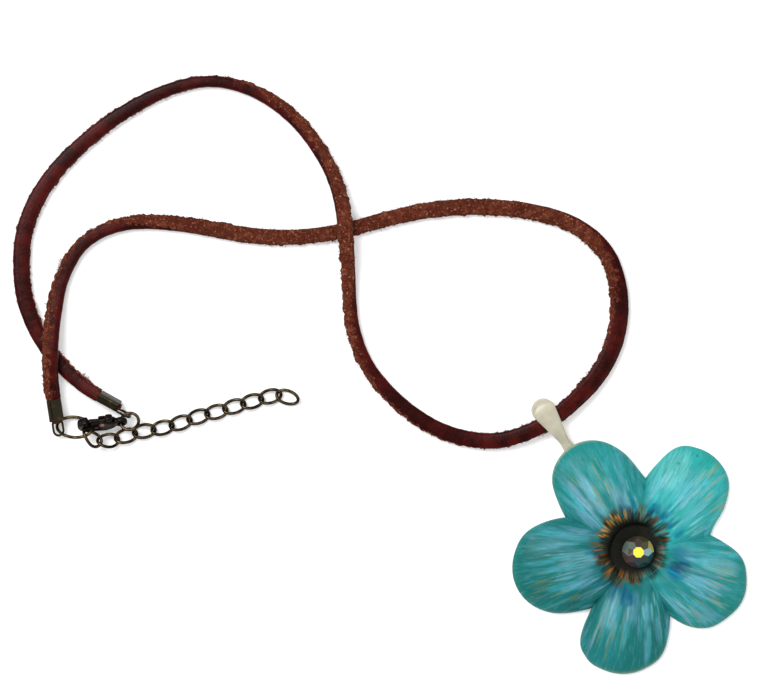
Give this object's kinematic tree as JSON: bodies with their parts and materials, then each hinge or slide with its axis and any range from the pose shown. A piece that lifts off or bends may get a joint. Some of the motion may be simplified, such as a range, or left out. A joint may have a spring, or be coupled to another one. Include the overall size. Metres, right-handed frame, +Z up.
{
  "type": "flower pendant necklace",
  "caption": "Painted flower pendant with a faceted stone, hung by a tapered bail on a leather lace with a lobster clasp and an extender chain.",
  "frame": {"origin": "middle of the flower's flat back, on the surface it lies on", "axes": "+Z up from the surface, out of the flower's front; +X along the necklace from the clasp to the flower; +Y across it"},
  "size_m": [0.1647, 0.135, 0.006],
  "materials": {
    "painted_flower": "hand-painted turquoise with lilac and ochre strokes under a satin varnish",
    "cream_body": "satin ivory",
    "crystal": "dark foiled crystal, cut and polished",
    "leather_lace": "burgundy grain side, brown suede side",
    "antique_brass": "antiqued, dark in the hollows"
  },
  "bodies": {
    "necklace": {"flower": "painted_flower", "crystal": "crystal", "bail": "cream_body", "lace": "leather_lace", "crimp_end_a": "antique_brass", "crimp_end_b": "antique_brass", "jump_ring_a": "antique_brass", "jump_ring_b": "antique_brass", "clasp_body": "antique_brass", "clasp_rivet": "antique_brass", "chain_link_01": "antique_brass", "chain_link_02": "antique_brass", "chain_link_03": "antique_brass", "chain_link_04": "antique_brass", "chain_link_05": "antique_brass", "chain_link_06": "antique_brass", "chain_link_07": "antique_brass", "chain_link_08": "antique_brass", "chain_link_09": "antique_brass", "chain_link_10": "antique_brass", "chain_link_11": "antique_brass", "chain_link_12": "antique_brass"},
    "lever": {"clasp_lever": "antique_brass"}
  },
  "joints": [
    {"name": "clasp_lever_hinge", "type": "hinge", "parent": "necklace", "child": "lever", "pos_m": [-0.12019, 0.02933, 0.0042], "axis": [0.0869, -0.8791, 0.4687], "range_deg": [0, 20], "stiffness_Nm_per_rad": 0.0004, "springref_deg": -11.46}
  ]
}
